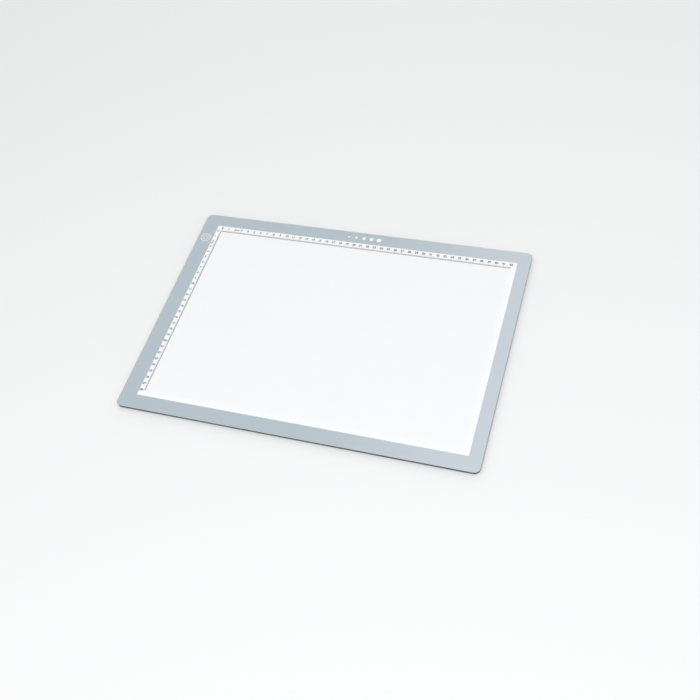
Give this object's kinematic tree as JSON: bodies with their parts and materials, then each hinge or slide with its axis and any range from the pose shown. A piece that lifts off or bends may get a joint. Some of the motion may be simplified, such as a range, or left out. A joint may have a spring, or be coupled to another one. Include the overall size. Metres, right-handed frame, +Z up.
{
  "type": "light pad",
  "caption": "Slim edge-lit drawing light pad with a clear cover over a printed border, a lit window, a touch symbol, a side power socket and rubber feet.",
  "frame": {"origin": "middle of the outline, on the surface that the feet stand on", "axes": "+X to the right along the long side, +Y to the rear edge, +Z up out of the lit face"},
  "size_m": [0.475, 0.338, 0.0058],
  "materials": {
    "clear_acrylic": "polished clear acrylic",
    "border_ink": "blue-grey back print seen through the acrylic",
    "white_ink": "white back print",
    "scale_ink": "black back print",
    "mounting_tape": "white double-sided foam tape",
    "diffuser_film": "frosted white film",
    "guide_acrylic": "clear acrylic with a printed dot pattern underneath",
    "white_film": "white reflecting film",
    "white_moulding": "white moulded plastic",
    "black_foam": "closed-cell foam",
    "flex_circuit": "white-faced flexible laminate with copper tracks",
    "lamp_body": "white lamp housing",
    "phosphor": "yellow resin fill",
    "board_laminate": "green solder resist on glass laminate",
    "copper_pad": "copper foil",
    "conductive_foam": "conductive foam",
    "chip_resin": "moulded resin",
    "resistor_black": "coated ceramic",
    "capacitor_ceramic": "tan ceramic with tinned ends",
    "socket_steel": "tin-plated folded steel",
    "black_moulding": "moulded plastic",
    "gilt": "gold-plated strip",
    "back_plastic": "fine-grained dark grey moulded plastic",
    "foot_rubber": "soft black rubber"
  },
  "bodies": {
    "root": {"adhesive_frame": "mounting_tape", "back_cover": "back_plastic", "ballast_resistors": "resistor_black", "board_tape": "mounting_tape", "brightness_mark": "white_ink", "control_board": "board_laminate", "cover_panel": "clear_acrylic", "diffuser_sheet": "diffuser_film", "dimmer_chip": "chip_resin", "driver_transistors": "chip_resin", "filter_capacitors": "capacitor_ceramic", "foot_front_left": "foot_rubber", "foot_front_middle": "foot_rubber", "foot_front_right": "foot_rubber", "foot_middle_left": "foot_rubber", "foot_middle_right": "foot_rubber", "foot_rear_left": "foot_rubber", "foot_rear_middle": "foot_rubber", "foot_rear_right": "foot_rubber", "front_led_flex": "flex_circuit", "front_led_phosphor": "phosphor", "front_leds": "lamp_body", "guide_cushion_left": "black_foam", "guide_cushion_right": "black_foam", "light_frame": "white_moulding", "light_guide": "guide_acrylic", "printed_border": "border_ink", "rear_led_flex": "flex_circuit", "rear_led_phosphor": "phosphor", "rear_leds": "lamp_body", "reflector_sheet": "white_film", "scale_print": "scale_ink", "touch_chip": "chip_resin", "touch_electrode": "copper_pad", "touch_foam": "conductive_foam", "touch_symbol": "white_ink", "usb_contacts": "gilt", "usb_shell": "socket_steel", "usb_tongue": "black_moulding"}
  },
  "joints": []
}
